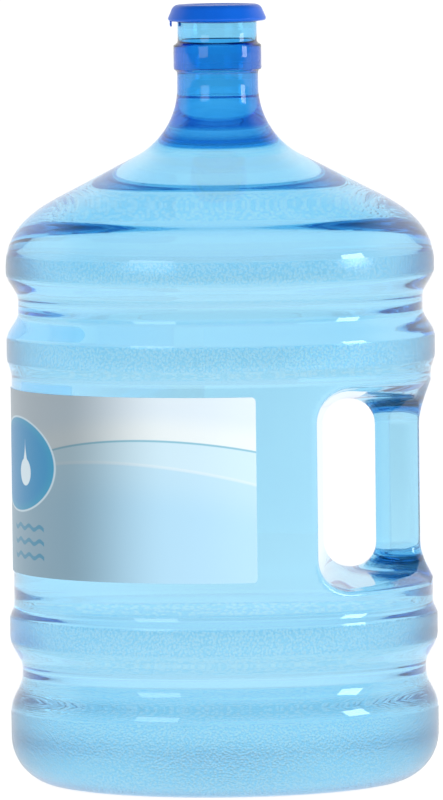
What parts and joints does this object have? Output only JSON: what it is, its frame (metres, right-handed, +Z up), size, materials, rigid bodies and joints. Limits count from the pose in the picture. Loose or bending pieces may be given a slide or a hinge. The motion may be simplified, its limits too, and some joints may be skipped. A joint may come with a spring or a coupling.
{
  "type": "water cooler jug",
  "caption": "Large ribbed blue plastic water jug with a moulded side handle, full of water, with a pressed-on cap and a plain wrap label.",
  "frame": {"origin": "centre of the foot ring, on the surface the jug stands on", "axes": "+Z up along the bottle's axis to the cap, +X towards the handle, so the label is on the -X side"},
  "size_m": [0.2702, 0.2702, 0.4912],
  "materials": {
    "bottle": "clear blue polycarbonate, glossy, pebbled on the ribs and the base",
    "water": "clear water",
    "label": "satin printed film",
    "cap": "satin moulded polyethylene",
    "liner": "fine foam"
  },
  "bodies": {
    "jug": {"bottle_shell": "bottle", "water": "water", "wrap_label": "label"},
    "cap": {"cap_shell": "cap", "cap_liner": "liner"},
    "tab": {"pull_tab": "cap"}
  },
  "joints": [
    {"name": "cap_lift", "type": "slide", "parent": "jug", "child": "cap", "axis": [0, 0, 1], "range_m": [0, 0.045]},
    {"name": "tab_lift", "type": "hinge", "parent": "cap", "child": "tab", "pos_m": [-0.02985, 0, 0.4811], "axis": [0, 1, 0], "range_deg": [0, 110]}
  ]
}
